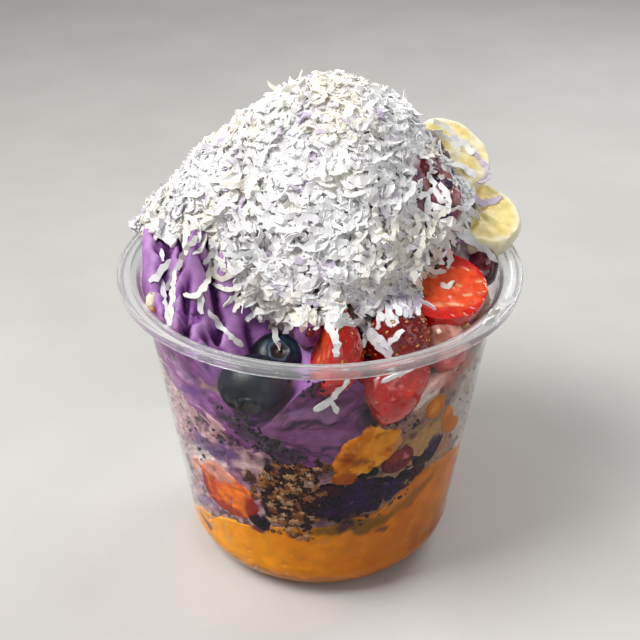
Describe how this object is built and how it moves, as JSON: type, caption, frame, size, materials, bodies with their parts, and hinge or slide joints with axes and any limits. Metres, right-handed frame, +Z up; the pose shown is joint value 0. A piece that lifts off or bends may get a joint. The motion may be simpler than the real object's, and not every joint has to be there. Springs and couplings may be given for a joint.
{
  "type": "halo-halo in a cup",
  "caption": "Halo-halo in a clear plastic cup: mango, milky ice and purple yam ice cream in layers, berries and banana at the rim, a heap of shredded coconut on top.",
  "frame": {"origin": "centre of the cup's flat base, on the surface that the cup stands on", "axes": "+Z up along the cup's axis, -Y towards the front, where the cut fruit shows through the wall, +X to its right, the side of the banana slices"},
  "size_m": [0.1196, 0.118, 0.151],
  "materials": {
    "clear_plastic": "clear, glossy",
    "mango": "wet, glossy",
    "milky_ice": "frosty",
    "ube": "creamy, softly glossy",
    "ube_jam": "sticky, glossy",
    "granola": "rough, crumbly",
    "papaya": "wet",
    "red_bean": "glossy",
    "blueberry": "dull bloom over blue-black skin",
    "strawberry": "wet, glossy",
    "lychee": "wet, translucent",
    "plum": "wet",
    "banana": "smooth, moist",
    "coconut": "matte shreds"
  },
  "bodies": {
    "root": {"cup": "clear_plastic", "mango_puree": "mango", "milky_ice": "milky_ice", "ube_ice_cream": "ube", "coconut_heap": "coconut", "granola": "granola", "ube_jam": "ube_jam", "red_bean": "red_bean", "mango_chunk": "mango", "mango_piece": "mango", "papaya_chunk": "papaya", "strawberry_wedge": "strawberry", "strawberry_cut": "strawberry", "strawberry_seeded": "strawberry", "strawberry_half": "strawberry", "strawberry_piece": "strawberry", "blueberry_low": "blueberry", "blueberry_high": "blueberry", "lychee": "lychee", "plum_slice": "plum", "plum_piece": "plum", "banana_slice_low": "banana", "banana_slice_high": "banana", "ube_piece": "ube"}
  },
  "joints": []
}
